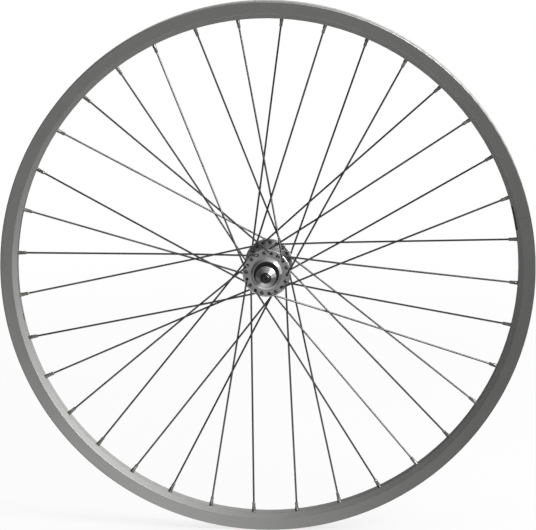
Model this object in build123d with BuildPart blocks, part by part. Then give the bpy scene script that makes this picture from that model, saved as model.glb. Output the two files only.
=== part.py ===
from build123d import *
import os
from math import cos, isclose, radians, sin, sqrt

# A 26 inch bicycle front wheel: rim, laced spokes and a cup-and-cone hub on a solid axle.
# The axle lies along Y and the origin is the wheel's centre. Sizes are in millimetres.

# Rim, a hooked section with two walls
bead_seat_diameter = 559.0
bead_flange_height = 6.5
rim_width = 24.0
rim_depth = 18.0
brake_track_height = 12.6
spoke_bed_width = 14.0
rim_side_wall = 1.6
rim_side_lean = 0.6
rim_bevel_wall = 1.8
spoke_bed_wall = 2.4
rim_bridge_wall = 1.5
bead_hook_overhang = 0.8
bead_hook_height = 1.6
bead_shelf_width = 3.2
tyre_well_depth = 2.4
rim_lip_round = 0.9
rim_edge_round = 0.5
valve_hole_diameter = 8.5
driver_hole_diameter = 8.0

# Lacing
spoke_count = 36
spoke_crossings = 3
first_spoke_angle = 6.8
spoke_diameter = 2.0
crossing_clearance = 0.3
crossing_bend_radius = 60.0
elbow_radius = 3.0
elbow_rise = 2.8
spoke_head_diameter = 4.2
spoke_head_height = 1.3
spoke_head_round = 0.9
nipple_stagger = 2.0

# Nipples
nipple_diameter = 4.0
nipple_flats = 3.3
nipple_flats_length = 5.5
nipple_reach = 9.2
nipple_tip_diameter = 2.9
nipple_tip_length = 1.4
nipple_head_diameter = 5.8
nipple_head_height = 1.4
nipple_seat_height = 1.0
nipple_seat_clearance = 0.25
nipple_hole_clearance = 0.3
thread_clearance = 0.05

# Hub shell
flange_spacing = 70.6
flange_diameter = 51.0
flange_thickness = 3.2
flange_edge_round = 1.0
hole_circle_diameter = 43.5
spoke_hole_clearance = 0.3
barrel_diameter = 24.0
barrel_length = 30.0
barrel_flare_length = 12.0
barrel_flare_round = 5.0
neck_diameter = 31.0
neck_round = 1.5
housing_diameter = 33.4
housing_bevel_width = 2.5
housing_bevel_depth = 2.0
housing_round = 0.5
hub_shell_length = 88.0
bearing_bore_diameter = 27.2
axle_tunnel_diameter = 17.0

# Ball bearings
ball_diameter = 4.76
ball_count = 10
ball_circle_diameter = 19.4
ball_inset = 7.8
race_clearance = 0.15
cup_wall = 3.0
cup_lip = 2.2
press_gap = 0.03
retainer_width = 1.6
retainer_height = 2.2
retainer_rise = 0.8
retainer_clearance = 0.2

# Dust caps
dust_cap_depth = 4.4
dust_cap_wall = 1.1
dust_cap_proud = 0.4
dust_cap_round = 0.3
dust_cap_running_gap = 0.6

# Axle and what is threaded on it
axle_diameter = 10.0
axle_proud = 7.5
axle_end_diameter = 9.4
axle_end_length = 6.5
axle_chamfer = 1.0
over_locknut_width = 100.0
cone_nose_length = 3.6
cone_nose_wall = 1.7
cone_neck_diameter = 16.8
key_washer_thickness = 1.2
key_washer_diameter = 18.0
locknut_thickness = 3.6
locknut_across_flats = 17.0
locknut_chamfer = 0.6
fork_end_gap = 5.0
axle_washer_thickness = 2.0
axle_washer_diameter = 21.6
nut_flange_diameter = 22.0
nut_flange_edge = 2.0
nut_flange_slope = 2.6
nut_across_flats = 15.0
nut_height = 10.0
nut_nose_length = 2.3
nut_nose_diameter = 11.6
nut_corner_margin = 0.1

# The largest share of a wall that a rounded edge may take
round_limit = 0.45

# Radii and places that follow from the sizes above
bead_seat_radius = bead_seat_diameter / 2
rim_radius = bead_seat_radius + bead_flange_height
bed_radius = rim_radius - rim_depth
track_radius = rim_radius - brake_track_height
well_radius = bead_seat_radius - tyre_well_depth
rim_half = rim_width / 2
bed_half = spoke_bed_width / 2
channel_half = rim_half - rim_side_wall
rim_pitch = 360 / spoke_count
lacing_turn = 2 * spoke_crossings * rim_pitch
spoke_radius = spoke_diameter / 2
nipple_hole_radius = nipple_diameter / 2 + nipple_hole_clearance
hole_circle_radius = hole_circle_diameter / 2
flange_offset = flange_spacing / 2
flange_half = flange_thickness / 2
shell_half = hub_shell_length / 2
bore_radius = bearing_bore_diameter / 2
ball_place = shell_half - ball_inset
ball_orbit = ball_circle_diameter / 2
race_radius = ball_diameter / 2 + race_clearance
cup_seat = ball_place - race_radius - cup_wall
pressed_radius = bore_radius - press_gap
axle_radius = axle_diameter / 2
threaded_radius = axle_radius + thread_clearance
locknut_face = over_locknut_width / 2
locknut_seat = locknut_face - locknut_thickness
cone_end = locknut_seat - key_washer_thickness
washer_seat = locknut_face + fork_end_gap
nut_seat = washer_seat + axle_washer_thickness

os.makedirs("parts", exist_ok=True)


def write(piece, name):
    """Label a finished piece and write its file."""
    piece.part.label = name
    export_step(piece.part, "parts/" + name + ".step")


def write_both_sides(piece, name):
    """Write a piece of the +Y side as the left one, and its mirror image as the right one."""
    with BuildPart() as opposite:
        mirror(piece.part, about=Plane.XZ)
    write(piece, name + "_left")
    write(opposite, name + "_right")


def around(radius, angle, y):
    """A point at a radius and an angle about the axle, seen with +X right and +Z up."""
    return Vector(radius * cos(radians(angle)), y, radius * sin(radians(angle)))


def axle_plane(point):
    """A plane at a point, facing +Y."""
    return Plane(origin=point, x_dir=(1, 0, 0), z_dir=(0, 1, 0))


def side_of(index):
    """Even spokes go to the left flange, at +Y, and odd ones to the right flange."""
    return -1 if index % 2 else 1


def face_of(index):
    """1 for a spoke that lies outside its flange, and -1 for one that lies inside."""
    return 1 if index % 4 in (1, 2) else -1


def rim_angle(index):
    """Where a spoke meets the rim."""
    return first_spoke_angle + index * rim_pitch


def hub_angle(index):
    """Spokes outside the flanges lean one way, and those inside lean the other way."""
    return rim_angle(index) - face_of(index) * lacing_turn


def crossing_point(index):
    """Where a spoke passes the last spoke it crosses, on the other side of it from the flange."""
    side = side_of(index)
    turn = lacing_turn - rim_pitch
    hub_part = hole_circle_radius * sin(radians(turn))
    rim_part = bed_radius * sin(radians(lacing_turn - turn))
    share = hub_part / (hub_part + rim_part)
    hub = around(hole_circle_radius, hub_angle(index), side * flange_offset)
    rim = around(bed_radius, rim_angle(index), side * nipple_stagger)
    apart = spoke_radius + crossing_clearance / 2
    return hub + (rim - hub) * share - Vector(0, side * face_of(index) * apart, 0)


def nipple_plane(index):
    """The plane of a nipple where it leaves the spoke bed, facing out along its spoke."""
    seat = around(bed_radius, rim_angle(index), side_of(index) * nipple_stagger)
    return Plane(origin=seat, x_dir=(0, 1, 0), z_dir=seat - crossing_point(index))


nipple_places = [nipple_plane(index).location for index in range(spoke_count)]
valve_angle = first_spoke_angle + (spoke_count / 2 + 0.5) * rim_pitch

# Rim, turned as one ring and drilled along each spoke
hook_half = channel_half - bead_hook_overhang
shelf_half = channel_half - bead_shelf_width
outer_half = [
    (bed_radius, bed_half),
    (track_radius, rim_half - rim_side_lean),
    (rim_radius, rim_half),
    (rim_radius, hook_half),
    (rim_radius - bead_hook_height, hook_half),
    (rim_radius - bead_hook_height - bead_hook_overhang, channel_half),
    (bead_seat_radius, channel_half),
    (bead_seat_radius, shelf_half),
    (well_radius, shelf_half - tyre_well_depth),
]
cavity_half = [
    (bed_radius + spoke_bed_wall, bed_half - rim_bevel_wall / 2),
    (track_radius + rim_bevel_wall / 2, channel_half - rim_side_lean),
    (bead_seat_radius - rim_bridge_wall, channel_half),
    (bead_seat_radius - rim_bridge_wall, shelf_half),
    (well_radius - rim_bridge_wall, shelf_half - tyre_well_depth),
]


def whole_outline(half):
    """A half outline from the middle plane outwards, closed by its mirror image."""
    return half + [(radius, -y) for radius, y in reversed(half)]


with BuildPart() as rim:
    with BuildSketch(Plane.XY) as rim_section:
        with BuildLine():
            Polyline(*whole_outline(outer_half), close=True)
        make_face()
        lips = rim_section.vertices().group_by(Axis.X)[-1]
        fillet(lips, radius=min(rim_lip_round, round_limit * (rim_half - hook_half)))
        edges_of_bed = rim_section.vertices().group_by(Axis.X)[:2]
        fillet(edges_of_bed[0] + edges_of_bed[1], radius=rim_edge_round)
        with BuildLine():
            Polyline(*whole_outline(cavity_half), close=True)
        make_face(mode=Mode.SUBTRACT)
    revolve(axis=Axis.Y)
    with Locations(*nipple_places):
        Cylinder(nipple_hole_radius, 4 * spoke_bed_wall, mode=Mode.SUBTRACT)
    driver_places = [
        Plane(origin=around(well_radius, rim_angle(index), 0), z_dir=around(1, rim_angle(index), 0)).location
        for index in range(spoke_count)
    ]
    with Locations(*driver_places):
        Cylinder(driver_hole_diameter / 2, 4 * rim_bridge_wall, mode=Mode.SUBTRACT)
    valve_plane = Plane(origin=around(bed_radius, valve_angle, 0), z_dir=around(1, valve_angle, 0))
    with Locations(valve_plane.location):
        Cylinder(valve_hole_diameter / 2, 2 * rim_depth, mode=Mode.SUBTRACT)
write(rim, "rim")

# Spokes, bent wire with a head, an elbow through the flange and a slight bend at the crossing
for index in range(spoke_count):
    outwards = side_of(index) * face_of(index)
    head_seat = side_of(index) * flange_offset - outwards * flange_half
    elbow = side_of(index) * flange_offset + outwards * (flange_half + elbow_rise)
    start = around(hole_circle_radius, hub_angle(index), head_seat)
    corner = around(hole_circle_radius, hub_angle(index), elbow)
    nipple = nipple_plane(index)
    end = nipple.origin + nipple.z_dir * (spoke_bed_wall + nipple_seat_height)
    head_plane = Plane(origin=start, x_dir=(1, 0, 0), z_dir=(0, -outwards, 0))
    with BuildPart() as spoke:
        with BuildLine() as route:
            FilletPolyline(
                start, corner, crossing_point(index), end,
                radius=[elbow_radius, crossing_bend_radius],
            )
        with BuildSketch(Plane(origin=start, z_dir=(0, outwards, 0))):
            Circle(spoke_radius)
        sweep()
        with BuildSketch(head_plane):
            Circle(spoke_head_diameter / 2)
        extrude(amount=spoke_head_height)
        head_top = spoke.edges().filter_by(GeomType.CIRCLE).sort_by(Axis.Y)[-1 if outwards < 0 else 0]
        fillet(head_top, radius=min(spoke_head_round, 2 * round_limit * spoke_head_height))
    write(spoke, "spoke_%02d" % (index + 1))

# Nipples, one turned and milled piece that is repeated on every spoke
nipple_seat = spoke_bed_wall + nipple_seat_clearance
nipple_shoulder = nipple_seat + nipple_seat_height
nipple_top = nipple_shoulder + nipple_head_height
nipple_bore = spoke_radius + thread_clearance
with BuildPart() as one_nipple:
    with BuildSketch(Plane.XZ):
        with BuildLine():
            Polyline(
                (nipple_bore, -nipple_reach),
                (nipple_tip_diameter / 2, -nipple_reach),
                (nipple_diameter / 2, nipple_tip_length - nipple_reach),
                (nipple_diameter / 2, nipple_seat),
                (nipple_head_diameter / 2, nipple_shoulder),
                (nipple_head_diameter / 2, nipple_top),
                (nipple_bore, nipple_top),
                close=True,
            )
        make_face()
    revolve(axis=Axis.Z)
    with BuildSketch(Plane.XY.offset(-nipple_reach)):
        Circle(nipple_diameter)
        Rectangle(nipple_flats, nipple_flats, mode=Mode.SUBTRACT)
    extrude(amount=nipple_flats_length, mode=Mode.SUBTRACT)
with BuildPart() as nipples:
    with Locations(*nipple_places):
        add(one_nipple.part)
write(nipples, "nipples")

# Hub shell, one half turned and mirrored, then drilled for the spokes
flange_inner = flange_offset - flange_half
flange_outer = flange_offset + flange_half
flange_radius = flange_diameter / 2
housing_radius = housing_diameter / 2
housing_wall = housing_radius - bore_radius
bevel_outer = shell_half - housing_bevel_depth
bevel_inner = housing_radius - min(housing_bevel_width, 2 * round_limit * housing_wall)
neck_radius = neck_diameter / 2
flare_start = barrel_length / 2
flare_end = flare_start + barrel_flare_length
with BuildPart() as hub_shell:
    with BuildSketch(Plane.XY) as shell_section:
        with BuildLine():
            Polyline(
                (axle_tunnel_diameter / 2, 0),
                (barrel_diameter / 2, 0),
                (barrel_diameter / 2, flare_start),
                (neck_radius, flare_end),
                (neck_radius, flange_inner),
                (flange_radius, flange_inner),
                (flange_radius, flange_outer),
                (housing_radius, flange_outer),
                (housing_radius, bevel_outer),
                (bevel_inner, shell_half),
                (bore_radius, shell_half),
                (bore_radius, cup_seat),
                (axle_tunnel_diameter / 2, cup_seat),
                close=True,
            )
        make_face()
        corners = shell_section.vertices()
        flange_edges = [corner for corner in corners if isclose(corner.X, flange_radius)]
        flares = [
            corner for corner in corners
            if isclose(corner.Y, flare_start) or isclose(corner.Y, flare_end)
        ]
        necks = [
            corner for corner in corners
            if isclose(corner.X, neck_radius) and isclose(corner.Y, flange_inner)
            or isclose(corner.X, housing_radius) and isclose(corner.Y, flange_outer)
        ]
        ends = [
            corner for corner in corners
            if isclose(corner.Y, bevel_outer) or isclose(corner.X, bevel_inner)
        ]
        fillet(flange_edges, radius=min(flange_edge_round, round_limit * flange_thickness))
        fillet(flares, radius=min(barrel_flare_round, round_limit * barrel_flare_length))
        fillet(necks, radius=min(neck_round, round_limit * (flange_inner - flare_end)))
        fillet(ends, radius=min(housing_round, round_limit * housing_bevel_depth))
    revolve(axis=Axis.Y)
    mirror(about=Plane.XZ)
    spoke_holes = [
        axle_plane(around(hole_circle_radius, hub_angle(index), side_of(index) * flange_offset)).location
        for index in range(spoke_count)
    ]
    with Locations(*spoke_holes):
        Cylinder(spoke_radius + spoke_hole_clearance, 2 * flange_thickness, mode=Mode.SUBTRACT)
write(hub_shell, "hub_shell")

# Bearing cups, pressed into the shell
cup_outer_end = ball_place + cup_lip
with BuildPart() as bearing_cup:
    with BuildSketch(Plane.XY):
        with BuildLine():
            race = RadiusArc(
                (ball_orbit, ball_place - race_radius),
                (ball_orbit + race_radius, ball_place),
                -race_radius,
            )
            Polyline(
                race @ 1,
                (ball_orbit + race_radius, cup_outer_end),
                (pressed_radius, cup_outer_end),
                (pressed_radius, cup_seat),
                (axle_tunnel_diameter / 2, cup_seat),
                (axle_tunnel_diameter / 2, ball_place - race_radius),
                race @ 0,
            )
        make_face()
    revolve(axis=Axis.Y)
write_both_sides(bearing_cup, "bearing_cup")

# Balls, one ring of them on each side
ball_places = [
    Location(around(ball_orbit, 360 / ball_count * index, ball_place)) for index in range(ball_count)
]
with BuildPart() as bearing_balls:
    with Locations(*ball_places):
        Sphere(ball_diameter / 2)
write_both_sides(bearing_balls, "bearing_balls")

# Retainers, rings with a pocket for each ball
with BuildPart() as ball_retainer:
    with BuildSketch(Plane.XY):
        with Locations((ball_orbit + race_radius / 2, ball_place + retainer_rise)):
            Rectangle(retainer_width, retainer_height, align=(Align.CENTER, Align.MIN))
    revolve(axis=Axis.Y)
    with Locations(*ball_places):
        Sphere(ball_diameter / 2 + retainer_clearance, mode=Mode.SUBTRACT)
write_both_sides(ball_retainer, "ball_retainer")

# Dust caps, pressed into the ends of the shell
dust_cap_face = shell_half + dust_cap_proud
with BuildPart() as dust_cap:
    with BuildSketch(Plane.XY) as cap_section:
        with BuildLine():
            Polyline(
                (pressed_radius, shell_half - dust_cap_depth),
                (pressed_radius, dust_cap_face),
                (cone_neck_diameter / 2 + dust_cap_running_gap, dust_cap_face),
                (cone_neck_diameter / 2 + dust_cap_running_gap, dust_cap_face - dust_cap_wall),
                (pressed_radius - dust_cap_wall, dust_cap_face - dust_cap_wall),
                (pressed_radius - dust_cap_wall, shell_half - dust_cap_depth),
                close=True,
            )
        make_face()
        cap_edges = cap_section.vertices().group_by(Axis.Y)[-1]
        fillet(cap_edges, radius=min(dust_cap_round, round_limit * dust_cap_wall))
    revolve(axis=Axis.Y)
write_both_sides(dust_cap, "dust_cap")

# Axle, turned a little thinner where it stands out past the nuts
axle_half = nut_seat + nut_height + axle_proud
with BuildPart() as axle:
    with BuildSketch(axle_plane((0, axle_end_length - axle_half, 0))):
        Circle(axle_radius)
    extrude(amount=2 * (axle_half - axle_end_length))
    with BuildSketch(axle_plane((0, -axle_half, 0))):
        Circle(axle_end_diameter / 2)
    extrude(amount=2 * axle_half)
    tips = axle.edges().filter_by(GeomType.CIRCLE).group_by(Axis.Y)
    chamfer(tips[0] + tips[-1], length=axle_chamfer)
write(axle, "axle")

# Cones, threaded on the axle, with the inner race
cone_race_inner = ball_orbit - race_radius
with BuildPart() as cone:
    with BuildSketch(Plane.XY):
        with BuildLine():
            race = RadiusArc(
                (cone_race_inner, ball_place),
                (ball_orbit, ball_place + race_radius),
                race_radius,
            )
            Polyline(
                race @ 1,
                (cone_neck_diameter / 2, ball_place + race_radius + ball_orbit - cone_neck_diameter / 2),
                (cone_neck_diameter / 2, cone_end),
                (threaded_radius, cone_end),
                (threaded_radius, ball_place - cone_nose_length),
                (threaded_radius + cone_nose_wall, ball_place - cone_nose_length),
                race @ 0,
            )
        make_face()
    revolve(axis=Axis.Y)
write_both_sides(cone, "cone")

# Key washers between the cones and the locknuts
with BuildPart() as key_washer:
    with BuildSketch(axle_plane((0, cone_end, 0))):
        Circle(key_washer_diameter / 2)
        Circle(threaded_radius, mode=Mode.SUBTRACT)
    extrude(amount=key_washer_thickness)
write_both_sides(key_washer, "key_washer")


def hexagon_nut(seat, height, across_flats, nose_length, nose_diameter):
    """A hexagon nut along Y whose outer end is turned to a cone."""
    clear_of_corners = across_flats / sqrt(3) + nut_corner_margin
    with BuildPart() as nut:
        with BuildSketch(axle_plane((0, seat, 0))):
            RegularPolygon(across_flats / 2, 6, major_radius=False)
        extrude(amount=height)
        with BuildSketch(Plane.XY):
            with BuildLine():
                Polyline(
                    (0, seat),
                    (across_flats, seat),
                    (clear_of_corners, seat + height - nose_length),
                    (nose_diameter / 2, seat + height),
                    (0, seat + height),
                    close=True,
                )
            make_face()
        revolve(axis=Axis.Y, mode=Mode.INTERSECT)
        with BuildSketch(axle_plane((0, seat, 0))):
            Circle(threaded_radius)
        extrude(amount=height, mode=Mode.SUBTRACT)
    return nut


# Locknuts, which hold the cones where they are set
locknut = hexagon_nut(
    locknut_seat, locknut_thickness, locknut_across_flats,
    locknut_chamfer, locknut_across_flats,
)
write_both_sides(locknut, "locknut")

# Washers outside the fork ends
with BuildPart() as axle_washer:
    with BuildSketch(axle_plane((0, washer_seat, 0))):
        Circle(axle_washer_diameter / 2)
        Circle(threaded_radius, mode=Mode.SUBTRACT)
    extrude(amount=axle_washer_thickness)
write_both_sides(axle_washer, "axle_washer")

# Axle nuts, each a hexagon with a coned nose on a coned flange
nut_hexagon = hexagon_nut(nut_seat, nut_height, nut_across_flats, nut_nose_length, nut_nose_diameter)
with BuildPart() as axle_nut:
    add(nut_hexagon.part)
    with BuildSketch(Plane.XY):
        with BuildLine():
            Polyline(
                (threaded_radius, nut_seat),
                (nut_flange_diameter / 2, nut_seat),
                (nut_flange_diameter / 2, nut_seat + nut_flange_edge),
                (nut_across_flats / 2, nut_seat + nut_flange_edge + nut_flange_slope),
                (threaded_radius, nut_seat + nut_flange_edge + nut_flange_slope),
                close=True,
            )
        make_face()
    revolve(axis=Axis.Y)
write_both_sides(axle_nut, "axle_nut")
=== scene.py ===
from math import ceil, cos, radians, sin, tau

import bmesh
import bpy
from bpy.props import FloatProperty, FloatVectorProperty, PointerProperty
from mathutils import Matrix, Vector


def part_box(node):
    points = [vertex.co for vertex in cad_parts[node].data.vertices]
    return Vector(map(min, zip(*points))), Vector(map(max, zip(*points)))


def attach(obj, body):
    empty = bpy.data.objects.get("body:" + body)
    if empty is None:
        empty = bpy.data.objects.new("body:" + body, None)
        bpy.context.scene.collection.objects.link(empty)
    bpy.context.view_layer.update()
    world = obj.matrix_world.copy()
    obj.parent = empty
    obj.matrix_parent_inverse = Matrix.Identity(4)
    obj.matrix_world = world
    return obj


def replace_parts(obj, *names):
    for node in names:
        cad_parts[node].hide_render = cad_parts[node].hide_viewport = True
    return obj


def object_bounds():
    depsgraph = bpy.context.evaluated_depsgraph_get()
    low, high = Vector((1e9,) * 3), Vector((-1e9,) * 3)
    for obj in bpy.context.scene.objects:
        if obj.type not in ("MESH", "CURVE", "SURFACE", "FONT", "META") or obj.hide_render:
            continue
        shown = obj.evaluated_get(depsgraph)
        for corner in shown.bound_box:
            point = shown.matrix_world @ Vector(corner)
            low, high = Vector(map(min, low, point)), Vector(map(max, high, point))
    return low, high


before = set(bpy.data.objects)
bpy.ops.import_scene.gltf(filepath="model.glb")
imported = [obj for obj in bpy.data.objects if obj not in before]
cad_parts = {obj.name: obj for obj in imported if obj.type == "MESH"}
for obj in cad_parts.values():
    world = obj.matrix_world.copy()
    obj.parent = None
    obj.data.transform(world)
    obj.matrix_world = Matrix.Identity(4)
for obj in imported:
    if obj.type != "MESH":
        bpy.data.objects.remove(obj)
cad_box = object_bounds()

bl_info = {
    "name": "Bicycle Wheel Looks",
    "version": (1, 0, 0),
    "blender": (4, 5, 0),
    "location": "View3D > Sidebar > Wheel",
    "description": "Finishes, a threaded axle, a rim label and a small studio for a bicycle wheel",
    "category": "Object",
}

MM = 0.001
PHOTO_WIDTH = 536
SENSOR_WIDTH_MM = 36.0
SIDES = ("left", "right")

# Roughness of the rim, and how much its parts are smoother or rougher than the slopes
SLOPE_ROUGH = 0.62
TRACK_SMOOTHER = 0.368
CORNER_SMOOTHER = 0.1
BED_SMOOTHER = 0.3
CHANNEL_ROUGHER = 0.3
LIP_ROUGHER = 0.25

# Marks for each metre that brushing and the lathe leave
RIM_BRUSHING = 1500.0
HUB_TURNING = 3000.0
RACE_GRINDING = 2500.0

# Grain for each metre of the two black plastics
LABEL_GRAIN = 2500.0
CAP_GRAIN = 1800.0

# Radius round a spoke hole where the painted shade begins to thin, and where it ends
HOLE_SHADE_FROM = 1.4 * MM
HOLE_SHADE_TO = 2.2 * MM

# Steps of the thread's turn and of the label, and the turns cut off again at each end of the thread
THREAD_STEPS = 24
LABEL_STEPS = 24
SPARE_TURNS = 2

# Parts of the thread's pitch where a flank and a crest begin
FLANK_START = 0.12
CREST_START = 0.44

# Parts of the centre mark's radius: its floor and its depth
MARK_FLOOR = 0.3
MARK_DEPTH = 0.7

# Part of the label's lift that the film fills
FILM_FILL = 0.8

# Where the floor's shadow fades, as a part of the floor's radius
SHADOW_FADE = (0.3, 0.9)

# Soft edges of the pool of light, in metres
POOL_SOFT = 0.05
POOL_NEAR = -0.2
POOL_BACK = (-0.05, 0.15)

# Parts of a direction between which the room changes: ahead, behind, and from ahead to behind
ROOM_AHEAD = (-0.8, 0.8)
ROOM_BEHIND = (-0.35, 0.35)
ROOM_TURN = (0.3, 0.8)


# Sizes and colours that a user would change


def length(name, description, default):
    """A property for a length in metres."""
    return FloatProperty(
        name=name, description=description, default=default, min=0.0,
        precision=5, unit="LENGTH", subtype="DISTANCE",
    )


def angle(name, description, degrees):
    """A property for an angle that is given in degrees."""
    return FloatProperty(
        name=name, description=description, default=radians(degrees), unit="ROTATION", subtype="ANGLE",
    )


def share(name, description, default):
    """A property for a number from 0 to 1."""
    return FloatProperty(
        name=name, description=description, default=default, min=0.0, max=1.0, subtype="FACTOR",
    )


def colour(name, description, default):
    """A property for a linear colour."""
    return FloatVectorProperty(
        name=name, description=description, default=default, size=3, min=0.0, max=1.0, subtype="COLOR",
    )


class WheelSizes(bpy.types.PropertyGroup):
    """Sizes of what the looks add to the wheel."""

    thread_pitch: length("Thread pitch", "Distance between two ridges of the axle's thread", 1.0 * MM)
    thread_depth: length("Thread depth", "Height of a ridge of the axle's thread", 0.55 * MM)
    thread_relief: length("Thread relief", "Width of the groove where the axle's thread runs out", 0.3 * MM)
    tip_length: length("Axle tip", "Length of the chamfer at each end of the axle", 0.85 * MM)
    tip_width: length("Axle tip width", "Width of the chamfer at each end of the axle", 1.2 * MM)
    centre_mark: length("Centre mark", "Radius of the lathe centre mark in the axle's ends", 1.5 * MM)
    label_start: angle("Label start", "Where the label on the spoke bed begins, round the axle", 9.2)
    label_span: angle("Label span", "How far the label reaches round the spoke bed", 5.6)
    label_overlap: length("Label overlap", "How far the label folds onto the slopes beside the bed", 2.4 * MM)
    label_thickness: length("Label thickness", "Thickness of the label's film", 0.15 * MM)
    hole_circle: length("Hole circle", "Radius of the circle of spoke holes in the hub's flanges", 21.75 * MM)
    hole_start: angle("First hole", "Where the first spoke hole of the left flange lies, round the axle", 6.8)
    hole_turn: angle("Hole spacing", "Turn from one spoke hole of a flange to the next", 20.0)
    seam_angle: angle("Seam angle", "Where the two ends of the rim meet, round the axle", 11.8)
    seam_width: length("Seam width", "Width of the line where the rim's ends meet", 0.3 * MM)


class WheelColours(bpy.types.PropertyGroup):
    """Colours of the wheel's finishes."""

    rim: colour("Rim", "Satin alloy of the rim", (0.456, 0.462, 0.446))
    hub: colour("Hub", "Polished alloy of the hub", (0.78, 0.78, 0.775))
    spoke: colour("Spokes", "Drawn steel wire", (0.19, 0.19, 0.193))
    nickel: colour("Nipple plating", "Nickel on the nipples", (0.38, 0.373, 0.355))
    brass: colour("Nipple brass", "Brass that shows where the plating is thin", (0.34, 0.3, 0.22))
    bearing: colour("Bearings", "Ground steel of balls, cups and cones", (0.58, 0.58, 0.60))
    zinc: colour("Plated steel", "Zinc on washers and locknuts", (0.54, 0.54, 0.56))
    chrome: colour("Axle nuts", "Chrome on the axle nuts", (0.68, 0.68, 0.69))
    axle: colour("Axle", "Blackened steel of the axle", (0.06, 0.06, 0.063))
    cap: colour("Dust caps", "Black plastic of the dust caps", (0.005, 0.005, 0.0055))
    label: colour("Label", "Plain dark film of the rim label", (0.02, 0.02, 0.021))
    floor: colour("Floor", "Pale paper under the wheel", (0.86, 0.86, 0.86))


class WheelStage(bpy.types.PropertyGroup):
    """The studio round the wheel."""

    distance: length("Camera distance", "From the camera to the wheel's centre", 3.7)
    elevation: angle("Camera elevation", "How far the camera stands above the axle", 9.77)
    azimuth: angle("Camera azimuth", "How far the camera stands to the right of the axle", 1.85)
    scale: FloatProperty(
        name="Picture scale", description="Pixels for each metre at the wheel's centre", default=934.1,
    )
    aim_right: FloatProperty(
        name="Aim right", description="How far the camera aims right of the wheel's centre",
        default=0.35 * MM, precision=5, unit="LENGTH",
    )
    aim_up: FloatProperty(
        name="Aim up", description="How far the camera aims above the wheel's centre",
        default=2.62 * MM, precision=5, unit="LENGTH",
    )
    floor_radius: length("Floor radius", "How far the paper under the wheel reaches", 2.2)
    shadow: share(
        "Shadow", "How much of the floor's brightness is real light, so that it takes a shadow", 0.25,
    )
    pool: share("Pool of light", "How bright the lit part of the floor shows in metal", 0.79)
    floor_dim: share("Dim floor", "How bright the rest of the floor shows in metal", 0.16)
    pool_left: length("Pool at left", "How far left of the wheel's foot the pool of light begins", 0.13)
    pool_spread: share(
        "Pool's spread", "How fast the pool of light widens to the left, away from the wheel", 0.6,
    )
    pool_right: length("Pool at right", "How far right of the wheel's foot the pool of light reaches", 0.057)
    pool_edge: length("Pool's edge", "Half the width of the pool's soft right edge", 0.252)
    pool_front: length("Pool at front", "How far in front of the wheel the pool of light reaches", 1.8)
    room_left: share("Room at left", "Brightness that metal sees on the left", 0.07)
    room_right: share("Room at right", "Brightness that metal sees on the right", 0.63)
    room_behind: share("Room behind", "Brightness that metal sees behind the wheel, at the right", 1.0)
    room_fill: share("Room fill", "Even light from the room on matt surfaces", 0.87)
    key_azimuth: angle("Key azimuth", "How far right of the axle the key lamp stands", 50.0)
    key_elevation: angle("Key elevation", "How far above the axle the key lamp stands", 32.0)
    key_distance: length("Key distance", "From the key lamp to the wheel's centre", 3.1)
    key_size: length("Key size", "Side of the soft key lamp", 1.4)
    key_power: FloatProperty(
        name="Key power", description="Power of the soft key lamp at the upper right",
        default=50.0, unit="POWER",
    )


# Shader graphs


class Wire:
    """A socket in an expression, where each operator adds a Math node."""

    def __init__(self, graph, socket):
        self.graph = graph
        self.socket = socket

    def out(self, name):
        """Another output of the same node."""
        return Wire(self.graph, self.socket.node.outputs[name])

    def __add__(self, other):
        return self.graph.maths("ADD", self, other)

    def __radd__(self, other):
        return self.graph.maths("ADD", other, self)

    def __sub__(self, other):
        return self.graph.maths("SUBTRACT", self, other)

    def __rsub__(self, other):
        return self.graph.maths("SUBTRACT", other, self)

    def __mul__(self, other):
        return self.graph.maths("MULTIPLY", self, other)

    def __rmul__(self, other):
        return self.graph.maths("MULTIPLY", other, self)

    def __truediv__(self, other):
        return self.graph.maths("DIVIDE", self, other)

    def __abs__(self):
        return self.graph.maths("ABSOLUTE", self)


class Graph:
    """A node tree that is filled from Python expressions."""

    def __init__(self, tree):
        self.tree = tree

    def node(self, kind, settings=None, sockets=None):
        """Add a node with its settings, then the values or links of its sockets; gives its first output."""
        made = self.tree.nodes.new(kind)
        for name, value in (settings or {}).items():
            setattr(made, name, value)
        for name, value in (sockets or {}).items():
            self.put(made.inputs[name], value)
        return Wire(self, made.outputs[0]) if made.outputs else None

    def put(self, socket, value):
        """Link a wire to a socket, or set the socket's own value."""
        if isinstance(value, Wire):
            self.tree.links.new(value.socket, socket)
        else:
            socket.default_value = value

    def maths(self, operation, *values):
        """A Math node on numbers and wires."""
        return self.node("ShaderNodeMath", {"operation": operation}, dict(enumerate(values)))

    def step(self, value, low, high):
        """0 below low, 1 above high and smooth between them."""
        return self.node(
            "ShaderNodeMapRange", {"interpolation_type": "SMOOTHSTEP"},
            {"Value": value, "From Min": low, "From Max": high},
        )

    def mix(self, amount, first, second):
        """A colour between two colours."""
        made = self.node(
            "ShaderNodeMix", {"data_type": "RGBA"},
            {0: amount, 6: first, 7: second},
        )
        return Wire(self, made.socket.node.outputs[2])

    def noise(self, place, scale, detail=2.0, extra=0.0):
        """Smooth noise round 0.5 at a place, with a fourth coordinate."""
        return self.node(
            "ShaderNodeTexNoise", {"noise_dimensions": "4D"},
            {"Vector": place, "W": extra, "Scale": scale, "Detail": detail},
        )

    def place(self):
        """The point on the piece, in metres, and its three coordinates."""
        point = self.node("ShaderNodeTexCoord").out("Object")
        split = self.node("ShaderNodeSeparateXYZ", None, {0: point})
        return point, split.out("X"), split.out("Y"), split.out("Z")

    def vector(self, x, y, z):
        """Three numbers as one vector."""
        return self.node("ShaderNodeCombineXYZ", None, {0: x, 1: y, 2: z})


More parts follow.
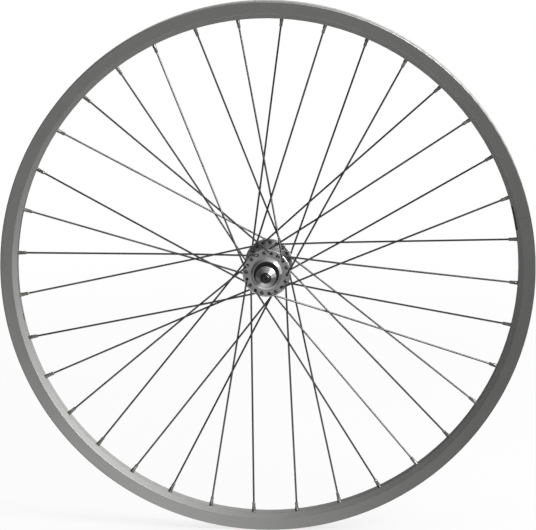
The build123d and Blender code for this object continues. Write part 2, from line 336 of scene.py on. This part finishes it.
class Finish(Graph):
    """A material with a Principled shader."""

    def __init__(self, name, **fixed):
        self.material = bpy.data.materials.new(name)
        self.material.use_nodes = True
        super().__init__(self.material.node_tree)
        self.shader = self.tree.nodes["Principled BSDF"]
        for socket, value in fixed.items():
            self.shader.inputs[socket.replace("_", " ")].default_value = value

    def feed(self, socket, value):
        """Give the shader's socket a value that varies over the surface."""
        self.put(self.shader.inputs[socket], value)

    def bump(self, height, strength, distance):
        """Raise the surface a little where height is large."""
        relief = self.node(
            "ShaderNodeBump", None, {"Height": height, "Strength": strength, "Distance": distance},
        )
        self.feed("Normal", relief)

    def turned(self):
        """The radius about the axle, the place along it and a point that goes round the unit circle."""
        _, x, y, z = self.place()
        radius = self.maths("SQRT", x * x + z * z)
        return radius, y, x / radius, z / radius


def shade(tint, factor):
    """A colour made lighter or darker, as four numbers for a socket."""
    return tuple(min(1.0, part * factor) for part in tint) + (1.0,)


def coat(finish, *nodes):
    """Give CAD nodes a finish in every material slot."""
    for name in nodes:
        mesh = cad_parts[name].data
        mesh.materials.clear()
        mesh.materials.append(finish.material)


def both(*names):
    """The left and right nodes of each name."""
    return [name + "_" + side for name in names for side in SIDES]


# Finishes


def rim_satin(tint, seam_angle, seam_width, bed, track, lip, widest):
    """Anodised alloy: matt slopes, smoother bed and tracks, a seam, and painted light: a paler tyre channel
    and lighter lip edges.
    """
    finish = Finish("rim_satin", Metallic=1.0)
    radius, y, across, up = finish.turned()
    circle = finish.vector(across * 6.0, up * 6.0, radius * RIM_BRUSHING)
    lines = finish.noise(circle, 1.0, 2.0, y * RIM_BRUSHING)
    cloud = finish.noise(finish.vector(across, up, radius * 12.0), 9.0, 3.0, y * 12.0)
    turned = finish.step(radius, track - 0.2 * MM, track + 0.5 * MM)
    corner = 1.0 - finish.step(abs(radius - track), 0.2 * MM, 0.6 * MM)
    smooth = 1.0 - finish.step(radius, bed + 0.02 * MM, bed + 0.12 * MM)
    channel = turned * (1.0 - finish.step(abs(y), widest - 1.6 * MM, widest - 1.2 * MM))
    edge = finish.step(radius, lip - 1.2 * MM, lip - 0.2 * MM)
    turn = finish.maths("ARCTAN2", up, across) - seam_angle
    seam = 1.0 - finish.step(abs(turn * radius), seam_width * 0.3, seam_width * 0.7)
    tone = lines * 0.5 + cloud * 0.5
    body = finish.mix(finish.step(tone, 0.3, 0.7), shade(tint, 0.96), shade(tint, 1.04))
    # Painted highlight: the lip edges are mixed lighter than the rest of the rim
    wear_and_highlight = finish.mix(edge * 0.3, body, shade(tint, 1.3))
    # Painted light: the tyre channel is painted paler than the rim, standing in for the light it gathers
    pale = finish.mix(channel, wear_and_highlight, shade(tint, 1.6))
    finish.feed("Base Color", finish.mix(seam * 0.7, pale, shade(tint, 0.25)))
    smoother = turned * TRACK_SMOOTHER + corner * CORNER_SMOOTHER + smooth * BED_SMOOTHER
    satin = SLOPE_ROUGH - smoother + channel * CHANNEL_ROUGHER + edge * LIP_ROUGHER
    finish.feed("Roughness", satin + (lines - 0.5) * 0.02 + (cloud - 0.5) * 0.03)
    finish.bump(lines * 0.15 - seam, 0.04, 0.05 * MM)
    return finish


def hub_polish(tint, sizes):
    """Alloy turned on a lathe and polished, with painted shade in and round the spoke holes of both flanges.
    """
    finish = Finish("hub_polish", Metallic=1.0)
    radius, y, across, up = finish.turned()
    circle = finish.vector(across * 1.5, up * 1.5, radius * HUB_TURNING)
    rings = finish.noise(circle, 1.0, 2.0, y * HUB_TURNING)
    haze = finish.noise(finish.vector(across, up, y * 60.0), 3.0, 3.0, radius * 60.0)
    right_flange = 1.0 - finish.step(y, -MM, MM)
    turn = finish.maths("ARCTAN2", up, across) - sizes.hole_start - right_flange * (sizes.hole_turn / 2)
    aside = finish.maths("WRAP", turn, sizes.hole_turn / 2, -sizes.hole_turn / 2) * radius
    beyond = radius - sizes.hole_circle
    from_hole = finish.maths("SQRT", aside * aside + beyond * beyond)
    # Painted shade: the spoke holes and a ring round them are darkened where shade falls into the holes
    hole_shade = 1.0 - finish.step(from_hole, HOLE_SHADE_FROM, HOLE_SHADE_TO)
    polish = finish.mix(finish.step(haze, 0.3, 0.75), shade(tint, 0.93), shade(tint, 1.06))
    finish.feed("Base Color", finish.mix(hole_shade * 0.9, polish, shade(tint, 0.06)))
    finish.feed("Roughness", 0.11 + rings * 0.06 + haze * 0.08 + hole_shade * 0.3)
    finish.bump(rings, 0.05, 0.05 * MM)
    return finish


def drawn_wire(tint):
    """Bright steel wire with drawing marks and a little dullness."""
    finish = Finish("drawn_wire", Metallic=1.0, Specular_Tint=(0.2, 0.2, 0.2, 1.0))
    point, _, _, _ = finish.place()
    dull = finish.noise(point, 40.0, 3.0)
    marks = finish.noise(point, 1800.0, 2.0)
    finish.feed(
        "Base Color",
        finish.mix(finish.step(dull, 0.35, 0.7), shade(tint, 0.88), shade(tint, 1.08)),
    )
    finish.feed("Roughness", 0.16 + dull * 0.05 + marks * 0.03)
    finish.bump(marks, 0.02, 0.03 * MM)
    return finish


def nickel_plate(nickel, brass):
    """Nickel over brass, with the brass showing where keys have turned the nipples."""
    finish = Finish("nickel_plate", Metallic=1.0, Specular_Tint=(0.5, 0.5, 0.5, 1.0))
    point, _, _, _ = finish.place()
    rubbed = finish.noise(point, 900.0, 3.0)
    stain = finish.noise(point, 120.0, 2.0)
    wear_and_highlight = finish.step(rubbed * 0.5 + stain * 0.5, 0.52, 0.66)
    finish.feed("Base Color", finish.mix(wear_and_highlight * 0.6, shade(nickel, 1.0), shade(brass, 1.0)))
    finish.feed("Roughness", 0.2 + stain * 0.1)
    finish.bump(rubbed, 0.06, 0.04 * MM)
    return finish


def ground_steel(tint):
    """Ground and polished bearing steel under a film of oil."""
    finish = Finish("ground_steel", Metallic=1.0, Coat_Roughness=0.08)
    radius, y, across, up = finish.turned()
    circle = finish.vector(across, up, radius * RACE_GRINDING)
    rings = finish.noise(circle, 1.0, 2.0, y * RACE_GRINDING)
    oil = finish.noise(finish.vector(across, up, y * 200.0), 4.0, 2.0, radius * 200.0)
    finish.feed("Base Color", finish.mix(oil, shade(tint, 0.9), shade(tint, 1.05)))
    finish.feed("Roughness", 0.12 + rings * 0.08)
    finish.feed("Coat Weight", finish.step(oil, 0.45, 0.7) * 0.4)
    return finish


def zinc_plate(tint):
    """Zinc plating with a faint two-tone bloom."""
    finish = Finish("zinc_plate", Metallic=1.0)
    radius, y, across, up = finish.turned()
    bloom = finish.noise(finish.vector(across, up, y * 150.0), 3.0, 3.0, radius * 150.0)
    rings = finish.noise(finish.vector(across, up, radius * 3000.0), 1.0, 2.0, y * 1200.0)
    warm = (tint[0] * 1.04, tint[1], tint[2] * 0.93)
    plate = finish.mix(finish.step(bloom, 0.4, 0.65), shade(tint, 0.95), shade(warm, 1.0))
    finish.feed("Base Color", plate)
    finish.feed("Roughness", 0.24 + rings * 0.1 + bloom * 0.06)
    finish.bump(rings, 0.06, 0.04 * MM)
    return finish


def chrome_plate(tint, mouth):
    """Chrome over turned steel with a faint haze, with painted shade round the mouth of the thread."""
    finish = Finish("chrome_plate", Metallic=1.0)
    radius, y, across, up = finish.turned()
    haze = finish.noise(finish.vector(across, up, y * 300.0), 3.0, 3.0, radius * 300.0)
    # Painted shade: the flat round the thread's mouth is made near-black where the recess lies in shade
    mouth_shade = 1.0 - finish.step(radius, mouth - 0.1 * MM, mouth + 0.2 * MM)
    plate = finish.mix(haze, shade(tint, 0.95), shade(tint, 1.04))
    finish.feed("Base Color", finish.mix(mouth_shade, plate, shade(tint, 0.06)))
    finish.feed("Roughness", 0.12 + haze * 0.1 + mouth_shade * 0.25)
    finish.bump(haze, 0.02, 0.05 * MM)
    return finish


def black_oxide(tint, crest):
    """Blackened steel, rubbed brighter on the crests of its thread."""
    finish = Finish("black_oxide", Metallic=0.85)
    radius, y, across, up = finish.turned()
    bloom = finish.noise(finish.vector(across, up, y * 250.0), 3.0, 3.0, radius * 250.0)
    rubbed = finish.step(radius, crest - 0.12 * MM, crest - 0.01 * MM) * finish.step(bloom, 0.35, 0.7)
    dark = finish.mix(bloom, shade(tint, 0.75), shade(tint, 1.3))
    finish.feed("Base Color", finish.mix(rubbed * 0.5, dark, shade(tint, 4.0)))
    finish.feed("Roughness", 0.2 + bloom * 0.12)
    finish.bump(bloom, 0.08, 0.03 * MM)
    return finish


def matt_plastic(name, tint, grain_scale):
    """Moulded black plastic or film with a fine grain."""
    finish = Finish(name, IOR=1.48)
    point, _, _, _ = finish.place()
    grain = finish.noise(point, grain_scale, 3.0)
    cloud = finish.noise(point, grain_scale / 20.0, 2.0)
    finish.feed("Base Color", finish.mix(cloud, shade(tint, 0.8), shade(tint, 1.35)))
    finish.feed("Roughness", 0.42 + grain * 0.12 + cloud * 0.06)
    finish.bump(grain, 0.12, 0.03 * MM)
    return finish


# Meshes


def add_piece(name, mesh_builder, finish, body):
    """Turn a finished bmesh into a piece that rides on a body."""
    mesh = bpy.data.meshes.new(name)
    mesh_builder.to_mesh(mesh)
    mesh_builder.free()
    mesh.materials.append(finish.material)
    piece = bpy.data.objects.new(name, mesh)
    bpy.context.scene.collection.objects.link(piece)
    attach(piece, body)
    return piece


def axle_section():
    """The CAD axle's radius and half length of its shank, then those of its narrower ends."""
    points = [
        (Vector((vert.co.x, vert.co.z)).length, abs(vert.co.y))
        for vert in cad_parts["axle"].data.vertices
    ]
    radius = max(r for r, _ in points)
    shank = max(y for r, y in points if r > radius - 0.1 * MM)
    end_radius = max(r for r, y in points if y > shank + 1.0 * MM)
    return radius, shank, end_radius, max(y for _, y in points)


def threaded_rod(radius, shank, end_radius, half, sizes):
    """A rod along Y with a helical thread, and plain chamfered ends with a lathe centre mark."""
    pitch = sizes.thread_pitch
    root = radius - sizes.thread_depth
    turns = ceil(2 * shank / pitch) + 2 * SPARE_TURNS
    start = -shank - SPARE_TURNS * pitch
    rod = bmesh.new()
    section = [
        (root, 0.0), (root, FLANK_START), (radius, CREST_START),
        (radius, 1.0 - CREST_START), (root, 1.0 - FLANK_START), (root, 1.0),
    ]
    corners = [rod.verts.new((reach, start + along * pitch, 0.0)) for reach, along in section]
    ridge = [rod.edges.new(pair) for pair in zip(corners, corners[1:])]
    bmesh.ops.spin(
        rod, geom=corners + ridge, cent=(0, 0, 0), axis=(0, 1, 0), dvec=(0, pitch / THREAD_STEPS, 0),
        angle=tau * turns, steps=THREAD_STEPS * turns, use_merge=False, use_duplicate=False,
    )
    bmesh.ops.remove_doubles(rod, verts=rod.verts, dist=pitch / 100)
    for side in (1, -1):
        cut = bmesh.ops.bisect_plane(
            rod, geom=rod.verts[:] + rod.edges[:] + rod.faces[:], dist=pitch / 1000,
            plane_co=(0, side * shank, 0), plane_no=(0, side, 0), clear_outer=True,
        )
        ring = [item for item in cut["geom_cut"] if isinstance(item, bmesh.types.BMEdge)]
        relief = sizes.thread_relief
        for reach, place in (
            (root, shank), (root, shank + relief), (end_radius, shank + 2 * relief),
            (end_radius, half - sizes.tip_length), (end_radius - sizes.tip_width, half),
            (sizes.centre_mark, half),
            (MARK_FLOOR * sizes.centre_mark, half - MARK_DEPTH * sizes.centre_mark),
        ):
            made = bmesh.ops.extrude_edge_only(rod, edges=ring)["geom"]
            outer = {item for item in made if isinstance(item, bmesh.types.BMVert)}
            ring = [
                item for item in made
                if isinstance(item, bmesh.types.BMEdge) and all(vert in outer for vert in item.verts)
            ]
            for vert in outer:
                across = Vector((vert.co.x, vert.co.z)).normalized() * reach
                vert.co = (across.x, side * place, across.y)
        bmesh.ops.edgeloop_fill(rod, edges=ring)
    bmesh.ops.remove_doubles(rod, verts=rod.verts, dist=pitch / 200)
    bmesh.ops.dissolve_degenerate(rod, edges=rod.edges, dist=pitch / 200)
    bmesh.ops.recalc_face_normals(rod, faces=rod.faces)
    return rod


def bed_label(bed, bed_half, slope, sizes):
    """A film that is folded over the spoke bed, from one slope beside it to the other."""
    lift = sizes.label_thickness
    reach = sizes.label_overlap
    film = bmesh.new()
    fold = bed_half + lift * (1 - slope[1]) / slope[0]
    half = [(bed - lift, fold), (bed - lift + reach * slope[0], fold + reach * slope[1])]
    section = [(r, -y) for r, y in reversed(half)] + half
    corners = [film.verts.new((r, y, 0.0)) for r, y in section]
    folds = [film.edges.new(pair) for pair in zip(corners, corners[1:])]
    down = (0, -1, 0)
    bmesh.ops.rotate(
        film, verts=corners, cent=(0, 0, 0), matrix=Matrix.Rotation(sizes.label_start, 3, down),
    )
    bmesh.ops.spin(
        film, geom=corners + folds, cent=(0, 0, 0), axis=down, dvec=(0, 0, 0),
        angle=sizes.label_span, steps=LABEL_STEPS, use_merge=False, use_duplicate=False,
    )
    bmesh.ops.recalc_face_normals(film, faces=film.faces)
    bmesh.ops.solidify(film, geom=film.faces[:], thickness=FILM_FILL * lift)
    bmesh.ops.recalc_face_normals(film, faces=film.faces)
    return film


def nut_mouth():
    """The radius of the flat round the thread at the outer end of the axle nuts, from CAD."""
    points = [vert.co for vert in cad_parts["axle_nut_left"].data.vertices]
    end = max(point.y for point in points)
    return max(Vector((point.x, point.z)).length for point in points if point.y > end - 0.01 * MM)


def rim_section():
    """The spoke bed's radius and half width, its slopes' way, the tracks' inner radius, half the width."""
    points = [
        (Vector((vert.co.x, vert.co.z)).length, abs(vert.co.y))
        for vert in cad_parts["rim"].data.vertices
    ]
    bed = min(r for r, _ in points)
    bed_half = max(y for r, y in points if r < bed + 0.02 * MM) + 0.2 * MM
    widest = max(y for _, y in points)
    track = min(r for r, y in points if y > widest - 1.0 * MM)
    slopes = [Vector((r - bed, y - bed_half)).normalized() for r, y in points if r > bed + 2.0 * MM]
    slope = max(slopes, key=lambda way: way.y)
    return bed, bed_half, slope, track, widest


# One operator for each piece or group of like pieces


class WHEEL_OT_rim(bpy.types.Operator):
    """Give the rim its satin finish and its seam"""

    bl_idname = "wheel.rim"
    bl_label = "Rim"

    def execute(self, context):
        sizes = context.scene.wheel_sizes
        tint = context.scene.wheel_colours.rim
        bed, _, _, track, widest = rim_section()
        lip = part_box("rim")[1].x
        finish = rim_satin(tint, sizes.seam_angle, sizes.seam_width, bed, track, lip, widest)
        coat(finish, "rim")
        return {"FINISHED"}


class WHEEL_OT_label(bpy.types.Operator):
    """Fold a plain dark label over the spoke bed beside the rim's seam"""

    bl_idname = "wheel.label"
    bl_label = "Rim label"

    def execute(self, context):
        bed, bed_half, slope, _, _ = rim_section()
        film = bed_label(bed, bed_half, slope, context.scene.wheel_sizes)
        finish = matt_plastic("label_film", context.scene.wheel_colours.label, LABEL_GRAIN)
        add_piece("rim_label", film, finish, "wheel")
        return {"FINISHED"}


class WHEEL_OT_spokes(bpy.types.Operator):
    """Give the spokes their drawn steel"""

    bl_idname = "wheel.spokes"
    bl_label = "Spokes"

    def execute(self, context):
        spokes = [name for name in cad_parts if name.startswith("spoke_")]
        coat(drawn_wire(context.scene.wheel_colours.spoke), *spokes)
        return {"FINISHED"}


class WHEEL_OT_nipples(bpy.types.Operator):
    """Give the nipples their nickel plating"""

    bl_idname = "wheel.nipples"
    bl_label = "Nipples"

    def execute(self, context):
        colours = context.scene.wheel_colours
        coat(nickel_plate(colours.nickel, colours.brass), "nipples")
        return {"FINISHED"}


class WHEEL_OT_hub(bpy.types.Operator):
    """Give the hub shell its polish"""

    bl_idname = "wheel.hub"
    bl_label = "Hub shell"

    def execute(self, context):
        coat(hub_polish(context.scene.wheel_colours.hub, context.scene.wheel_sizes), "hub_shell")
        return {"FINISHED"}


class WHEEL_OT_bearings(bpy.types.Operator):
    """Give balls, retainers, cups and cones their ground steel"""

    bl_idname = "wheel.bearings"
    bl_label = "Bearings"

    def execute(self, context):
        coat(
            ground_steel(context.scene.wheel_colours.bearing),
            *both("bearing_cup", "bearing_balls", "ball_retainer", "cone"),
        )
        return {"FINISHED"}


class WHEEL_OT_dust_caps(bpy.types.Operator):
    """Give the dust caps their black plastic"""

    bl_idname = "wheel.dust_caps"
    bl_label = "Dust caps"

    def execute(self, context):
        finish = matt_plastic("cap_plastic", context.scene.wheel_colours.cap, CAP_GRAIN)
        coat(finish, *both("dust_cap"))
        return {"FINISHED"}


class WHEEL_OT_axle(bpy.types.Operator):
    """Cut the axle's thread and blacken it"""

    bl_idname = "wheel.axle"
    bl_label = "Axle"

    def execute(self, context):
        section = axle_section()
        rod = threaded_rod(*section, context.scene.wheel_sizes)
        finish = black_oxide(context.scene.wheel_colours.axle, section[0])
        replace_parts(add_piece("axle_threaded", rod, finish, "axle"), "axle")
        return {"FINISHED"}


class WHEEL_OT_hardware(bpy.types.Operator):
    """Plate the washers, locknuts and axle nuts"""

    bl_idname = "wheel.hardware"
    bl_label = "Washers and nuts"

    def execute(self, context):
        colours = context.scene.wheel_colours
        coat(zinc_plate(colours.zinc), *both("key_washer", "locknut", "axle_washer"))
        coat(chrome_plate(colours.chrome, nut_mouth()), *both("axle_nut"))
        return {"FINISHED"}


class WHEEL_OT_stage(bpy.types.Operator):
    """Set up the floor, the room, the key lamp and the camera"""

    bl_idname = "wheel.stage"
    bl_label = "Stage"

    def execute(self, context):
        stage = context.scene.wheel_stage
        lay_floor(stage, context.scene.wheel_colours.floor)
        light_room(context.scene, stage)
        key = round_wheel(stage.key_azimuth, stage.key_elevation) * stage.key_distance
        add_lamp("key_lamp", key, stage.key_size, stage.key_power)
        set_camera(context.scene, stage)
        context.scene.view_settings.view_transform = "Standard"
        return {"FINISHED"}


# The studio


def round_wheel(azimuth, elevation):
    """A direction from the wheel's centre, from angles to the right of the axle and above it."""
    return Vector((sin(azimuth) * cos(elevation), -cos(azimuth) * cos(elevation), sin(elevation)))


def rays(graph):
    """1 for what the camera sees, and 1 for what metal and glass show."""
    path = graph.node("ShaderNodeLightPath")
    return path.out("Is Camera Ray"), path.out("Is Glossy Ray") + path.out("Is Transmission Ray")


def lay_floor(stage, tint):
    """A disc of pale paper: white with the wheel's shadow to the camera, a pool of light in metal."""
    disc = bmesh.new()
    bmesh.ops.create_circle(disc, cap_ends=True, segments=96, radius=stage.floor_radius)
    bmesh.ops.translate(disc, verts=disc.verts, vec=(0, 0, cad_box[0][2]))
    mesh = bpy.data.meshes.new("floor")
    disc.to_mesh(mesh)
    disc.free()
    material = bpy.data.materials.new("floor_paper")
    material.use_nodes = True
    paper = Graph(material.node_tree)
    paper.tree.nodes.clear()
    camera, metal = rays(paper)
    _, x, y, _ = paper.place()
    reach = paper.maths("SQRT", x * x + y * y) / stage.floor_radius
    fade = 1.0 - paper.step(reach, *SHADOW_FADE)
    slant = x - y * stage.pool_spread
    left = paper.step(slant, -stage.pool_left - POOL_SOFT, POOL_SOFT - stage.pool_left)
    right = 1.0 - paper.step(x, stage.pool_right - stage.pool_edge, stage.pool_right + stage.pool_edge)
    front = paper.step(y, -stage.pool_front, POOL_NEAR) * (1.0 - paper.step(y, *POOL_BACK))
    matt = paper.node("ShaderNodeBsdfDiffuse", None, {"Color": shade(tint, 1.0)})
    white = paper.node("ShaderNodeEmission", None, {"Color": (1, 1, 1, 1), "Strength": 1.0})
    bright = paper.node("ShaderNodeEmission", None, {"Color": (1, 1, 1, 1), "Strength": stage.pool})
    dim = paper.node("ShaderNodeEmission", None, {"Color": (1, 1, 1, 1), "Strength": stage.floor_dim})
    plain = camera * (1.0 - fade * stage.shadow)
    seen = paper.node("ShaderNodeMixShader", None, {0: plain, 1: matt, 2: white})
    shown = paper.node("ShaderNodeMixShader", None, {0: left * right * front, 1: dim, 2: bright})
    both_kinds = paper.node("ShaderNodeMixShader", None, {0: metal, 1: seen, 2: shown})
    paper.node("ShaderNodeOutputMaterial", None, {"Surface": both_kinds})
    mesh.materials.append(material)
    floor = bpy.data.objects.new("floor", mesh)
    bpy.context.scene.collection.objects.link(floor)


def light_room(scene, stage):
    """A room that is white to the camera; metal shows it dark at the left and lighter at the right."""
    world = bpy.data.worlds.new("room")
    scene.world = world
    world.use_nodes = True
    room = Graph(world.node_tree)
    room.tree.nodes.clear()
    camera, metal = rays(room)
    towards = room.node("ShaderNodeTexCoord").out("Generated")
    way = room.node("ShaderNodeSeparateXYZ", None, {0: towards})
    dark = stage.room_left
    ahead = dark + room.step(way.out("X"), *ROOM_AHEAD) * (stage.room_right - dark)
    behind = dark + room.step(way.out("X"), *ROOM_BEHIND) * (stage.room_behind - dark)
    shown = ahead + room.step(way.out("Y"), *ROOM_TURN) * (behind - ahead)
    level = camera + metal * shown + (1.0 - camera - metal) * stage.room_fill
    sky = room.node("ShaderNodeBackground", None, {"Color": (1, 1, 1, 1), "Strength": level})
    room.node("ShaderNodeOutputWorld", None, {"Surface": sky})


def look_at(item, place, target):
    """Put a lamp or the camera at a place, turned to a target."""
    item.location = place
    item.rotation_euler = (Vector(target) - Vector(place)).to_track_quat("-Z", "Y").to_euler()


def add_lamp(name, place, size, power):
    """A soft square lamp that is turned to the wheel's centre."""
    light = bpy.data.lights.new(name, "AREA")
    light.shape = "SQUARE"
    light.size = size
    light.energy = power
    lamp = bpy.data.objects.new(name, light)
    bpy.context.scene.collection.objects.link(lamp)
    look_at(lamp, place, (0, 0, 0))


def set_camera(scene, stage):
    """The camera where the photograph was taken from."""
    back = round_wheel(stage.azimuth, stage.elevation)
    right = (-back).cross(Vector((0, 0, 1))).normalized()
    up = right.cross(-back)
    lens = bpy.data.cameras.new("camera")
    lens.sensor_width = SENSOR_WIDTH_MM
    lens.lens = stage.scale * stage.distance / PHOTO_WIDTH * SENSOR_WIDTH_MM
    camera = bpy.data.objects.new("camera", lens)
    scene.collection.objects.link(camera)
    look_at(camera, back * stage.distance, right * stage.aim_right + up * stage.aim_up)
    scene.camera = camera


class WHEEL_PT_looks(bpy.types.Panel):
    """Lists the wheel's pieces, sizes and colours"""

    bl_idname = "WHEEL_PT_looks"
    bl_label = "Wheel"
    bl_space_type = "VIEW_3D"
    bl_region_type = "UI"
    bl_category = "Wheel"

    def draw(self, context):
        for operator in OPERATORS:
            self.layout.operator(operator.bl_idname)
        for group in GROUPS:
            values = getattr(context.scene, group)
            for name in values.__annotations__:
                self.layout.prop(values, name)


OPERATORS = (
    WHEEL_OT_rim, WHEEL_OT_label, WHEEL_OT_spokes, WHEEL_OT_nipples, WHEEL_OT_hub, WHEEL_OT_bearings,
    WHEEL_OT_dust_caps, WHEEL_OT_axle, WHEEL_OT_hardware, WHEEL_OT_stage,
)
GROUPS = {"wheel_sizes": WheelSizes, "wheel_colours": WheelColours, "wheel_stage": WheelStage}


def register():
    for group, kind in GROUPS.items():
        bpy.utils.register_class(kind)
        setattr(bpy.types.Scene, group, PointerProperty(type=kind))
    for kind in OPERATORS + (WHEEL_PT_looks,):
        bpy.utils.register_class(kind)


def unregister():
    for kind in reversed(OPERATORS + (WHEEL_PT_looks,)):
        bpy.utils.unregister_class(kind)
    for group, kind in reversed(GROUPS.items()):
        delattr(bpy.types.Scene, group)
        bpy.utils.unregister_class(kind)


def main():
    register()
    bpy.ops.wheel.rim()
    bpy.ops.wheel.label()
    bpy.ops.wheel.spokes()
    bpy.ops.wheel.nipples()
    bpy.ops.wheel.hub()
    bpy.ops.wheel.bearings()
    bpy.ops.wheel.dust_caps()
    bpy.ops.wheel.axle()
    bpy.ops.wheel.hardware()
    bpy.ops.wheel.stage()


if __name__ == "__main__":
    main()
